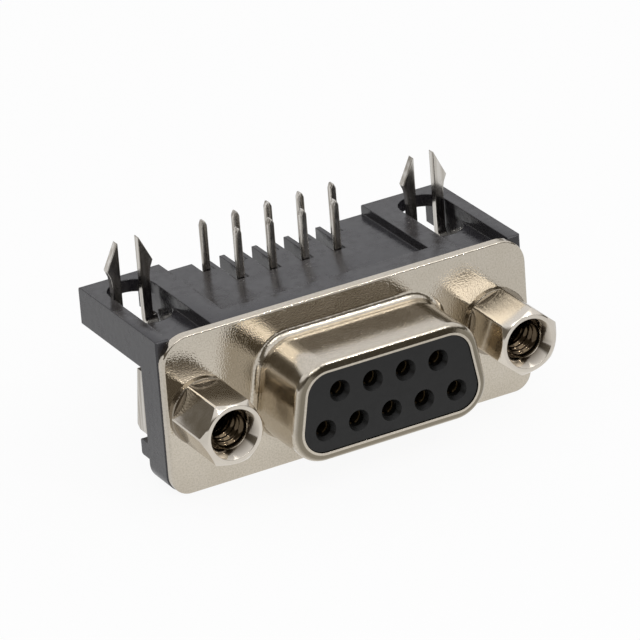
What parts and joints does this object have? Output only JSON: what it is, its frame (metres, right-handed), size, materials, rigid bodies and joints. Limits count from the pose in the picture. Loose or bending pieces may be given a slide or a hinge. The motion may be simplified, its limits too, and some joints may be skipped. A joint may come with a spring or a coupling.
{
  "type": "d-sub connector",
  "caption": "Right-angle board-mount D-sub socket connector with a metal front shell, hex screwlocks, barbed board locks and bent solder tails.",
  "frame": {"origin": "middle of the front shell's flange face, on the line between the two screwlocks", "axes": "+X along the connector, +Y from the plug side to the rear, +Z towards the circuit board"},
  "size_m": [0.031, 0.0191, 0.0166],
  "materials": {
    "shell_nickel": "nickel-plated pressed steel with a fine grain",
    "housing_plastic": "black moulded plastic with a soft sheen",
    "insulator_plastic": "black moulded plastic, matt",
    "screwlock_nickel": "bright nickel-plated turned metal",
    "contact_tin": "copper alloy with a bright tin plating",
    "lock_tin": "copper alloy sheet with a bright tin plating"
  },
  "bodies": {
    "root": {"front_shell": "shell_nickel", "front_insulator": "insulator_plastic", "rear_insulator": "insulator_plastic", "bracket_housing": "housing_plastic", "contact_1": "contact_tin", "contact_2": "contact_tin", "contact_3": "contact_tin", "contact_4": "contact_tin", "contact_5": "contact_tin", "contact_6": "contact_tin", "contact_7": "contact_tin", "contact_8": "contact_tin", "contact_9": "contact_tin", "board_lock_left": "lock_tin", "screwlock_left": "screwlock_nickel", "washer_left": "screwlock_nickel", "threaded_insert_left": "screwlock_nickel", "board_lock_right": "lock_tin", "screwlock_right": "screwlock_nickel", "washer_right": "screwlock_nickel", "threaded_insert_right": "screwlock_nickel"}
  },
  "joints": []
}
